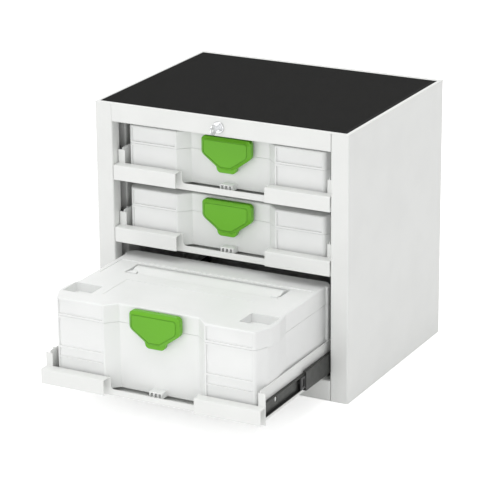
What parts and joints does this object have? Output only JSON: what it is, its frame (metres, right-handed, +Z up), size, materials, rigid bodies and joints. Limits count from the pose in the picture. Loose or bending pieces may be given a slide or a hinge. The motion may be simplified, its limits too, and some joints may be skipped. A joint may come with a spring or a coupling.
{
  "type": "tool case storage cabinet",
  "caption": "Steel bench cabinet with a rubber-topped worktop, full-extension drawers that each carry a latching plastic tool case, and a central lock.",
  "frame": {"origin": "centre of the cabinet's base, on the surface that it stands on", "axes": "+X to the right seen from the front, +Y from the front to the back, +Z up"},
  "size_m": [0.51, 0.677, 0.5003],
  "materials": {
    "cabinet_steel": "light grey powder coat",
    "rubber_mat": "fine ribbed",
    "tray_steel": "light grey powder coat",
    "slide_steel": "black zinc",
    "bright_steel": "zinc plated",
    "slide_plastic": "moulded",
    "lock_chrome": "polished",
    "case_plastic": "light grey ABS, fine grain",
    "latch_plastic": "green ABS, satin"
  },
  "bodies": {
    "cabinet": {"left_side_panel": "cabinet_steel", "right_side_panel": "cabinet_steel", "top_panel": "cabinet_steel", "base_panel": "cabinet_steel", "back_panel": "cabinet_steel", "top_rail": "cabinet_steel", "bottom_rail": "cabinet_steel", "slide_uprights": "cabinet_steel", "top_mat": "rubber_mat", "lock_housing": "lock_chrome", "lock_nut": "bright_steel", "lock_bar_guides": "cabinet_steel", "outer_slide_screws": "bright_steel", "bottom_slide_outer": "slide_steel", "middle_slide_outer": "slide_steel", "top_slide_outer": "slide_steel"},
    "lock_plug": {"lock_plug": "lock_chrome", "lock_cam": "bright_steel"},
    "key": {"key": "lock_chrome"},
    "lock_bar": {"lock_bar": "bright_steel"},
    "bottom_drawer": {"bottom_tray": "tray_steel", "bottom_slide_inner": "slide_steel", "bottom_slide_screws": "bright_steel"},
    "bottom_case": {"bottom_case_base": "case_plastic", "bottom_hinge_pins": "bright_steel"},
    "bottom_case_lid": {"bottom_case_lid": "case_plastic", "bottom_latch_pivot": "latch_plastic"},
    "bottom_case_handle": {"bottom_case_handle": "case_plastic"},
    "bottom_case_latch": {"bottom_case_latch": "latch_plastic"},
    "bottom_slide_middle": {"bottom_slide_middle": "slide_steel", "bottom_slide_catches": "slide_plastic"},
    "bottom_inner_balls": {"bottom_inner_ball_cages": "bright_steel"},
    "bottom_outer_balls": {"bottom_outer_ball_cages": "bright_steel"},
    "middle_drawer": {"middle_tray": "tray_steel", "middle_slide_inner": "slide_steel", "middle_slide_screws": "bright_steel", "middle_case_base": "case_plastic", "middle_case_lid": "case_plastic", "middle_hinge_pins": "bright_steel", "middle_latch_pivot": "latch_plastic", "middle_case_handle": "case_plastic", "middle_case_latch": "latch_plastic"},
    "middle_slide_middle": {"middle_slide_middle": "slide_steel", "middle_slide_catches": "slide_plastic"},
    "middle_inner_balls": {"middle_inner_ball_cages": "bright_steel"},
    "middle_outer_balls": {"middle_outer_ball_cages": "bright_steel"},
    "top_drawer": {"top_tray": "tray_steel", "top_slide_inner": "slide_steel", "top_slide_screws": "bright_steel", "top_case_base": "case_plastic", "top_case_lid": "case_plastic", "top_hinge_pins": "bright_steel", "top_latch_pivot": "latch_plastic", "top_case_handle": "case_plastic", "top_case_latch": "latch_plastic"},
    "top_slide_middle": {"top_slide_middle": "slide_steel", "top_slide_catches": "slide_plastic"},
    "top_inner_balls": {"top_inner_ball_cages": "bright_steel"},
    "top_outer_balls": {"top_outer_ball_cages": "bright_steel"}
  },
  "joints": [
    {"name": "lock_turn", "type": "hinge", "parent": "cabinet", "child": "lock_plug", "pos_m": [0, -0.205, 0.482], "axis": [0, -1, 0], "range_deg": [0, 90]},
    {"name": "key_pull", "type": "slide", "parent": "lock_plug", "child": "key", "axis": [0, -1, 0], "range_m": [0, 0.03]},
    {"name": "lock_bar_slide", "type": "slide", "parent": "cabinet", "child": "lock_bar", "axis": [1, 0, 0], "range_m": [0, 0.012]},
    {"name": "bottom_drawer_slide", "type": "slide", "parent": "cabinet", "child": "bottom_drawer", "axis": [0, -1, 0], "range_m": [-0.267, 0.063]},
    {"name": "bottom_slide_middle_travel", "type": "slide", "parent": "cabinet", "child": "bottom_slide_middle", "axis": [0, -1, 0], "range_m": [-0.1335, 0.0315]},
    {"name": "bottom_inner_balls_travel", "type": "slide", "parent": "cabinet", "child": "bottom_inner_balls", "axis": [0, -1, 0], "range_m": [-0.20025, 0.04725]},
    {"name": "bottom_outer_balls_travel", "type": "slide", "parent": "cabinet", "child": "bottom_outer_balls", "axis": [0, -1, 0], "range_m": [-0.06675, 0.01575]},
    {"name": "middle_drawer_slide", "type": "slide", "parent": "cabinet", "child": "middle_drawer", "axis": [0, 1, 0], "range_m": [-0.33, 0]},
    {"name": "middle_slide_middle_travel", "type": "slide", "parent": "cabinet", "child": "middle_slide_middle", "axis": [0, 1, 0], "range_m": [-0.165, 0]},
    {"name": "middle_inner_balls_travel", "type": "slide", "parent": "cabinet", "child": "middle_inner_balls", "axis": [0, 1, 0], "range_m": [-0.2475, 0]},
    {"name": "middle_outer_balls_travel", "type": "slide", "parent": "cabinet", "child": "middle_outer_balls", "axis": [0, 1, 0], "range_m": [-0.0825, 0]},
    {"name": "top_drawer_slide", "type": "slide", "parent": "cabinet", "child": "top_drawer", "axis": [0, 1, 0], "range_m": [-0.33, 0]},
    {"name": "top_slide_middle_travel", "type": "slide", "parent": "cabinet", "child": "top_slide_middle", "axis": [0, 1, 0], "range_m": [-0.165, 0]},
    {"name": "top_inner_balls_travel", "type": "slide", "parent": "cabinet", "child": "top_inner_balls", "axis": [0, 1, 0], "range_m": [-0.2475, 0]},
    {"name": "top_outer_balls_travel", "type": "slide", "parent": "cabinet", "child": "top_outer_balls", "axis": [0, 1, 0], "range_m": [-0.0825, 0]},
    {"name": "bottom_case_lift", "type": "slide", "parent": "bottom_drawer", "child": "bottom_case", "axis": [0, 0, 1], "range_m": [0, 0.017]},
    {"name": "bottom_lid_hinge", "type": "hinge", "parent": "bottom_case", "child": "bottom_case_lid", "pos_m": [0, -0.1648, 0.1778], "axis": [-1, 0, 0], "range_deg": [0, 26]},
    {"name": "bottom_handle_hinge", "type": "hinge", "parent": "bottom_case_lid", "child": "bottom_case_handle", "pos_m": [0, -0.269, 0.206], "axis": [1, 0, 0], "range_deg": [0, 90]},
    {"name": "bottom_latch_turn", "type": "hinge", "parent": "bottom_case_lid", "child": "bottom_case_latch", "pos_m": [0, -0.439, 0.1943], "axis": [0, -1, 0], "range_deg": [0, 180]}
  ],
  "couplings": [
    {"joint": "lock_turn", "follows": "lock_bar_slide", "rad_per_m": 130.9},
    {"joint": "bottom_slide_middle_travel", "follows": "bottom_drawer_slide", "ratio": 0.5},
    {"joint": "bottom_inner_balls_travel", "follows": "bottom_drawer_slide", "ratio": 0.75},
    {"joint": "bottom_outer_balls_travel", "follows": "bottom_drawer_slide", "ratio": 0.25},
    {"joint": "middle_slide_middle_travel", "follows": "middle_drawer_slide", "ratio": 0.5},
    {"joint": "middle_inner_balls_travel", "follows": "middle_drawer_slide", "ratio": 0.75},
    {"joint": "middle_outer_balls_travel", "follows": "middle_drawer_slide", "ratio": 0.25},
    {"joint": "top_slide_middle_travel", "follows": "top_drawer_slide", "ratio": 0.5},
    {"joint": "top_inner_balls_travel", "follows": "top_drawer_slide", "ratio": 0.75},
    {"joint": "top_outer_balls_travel", "follows": "top_drawer_slide", "ratio": 0.25}
  ]
}
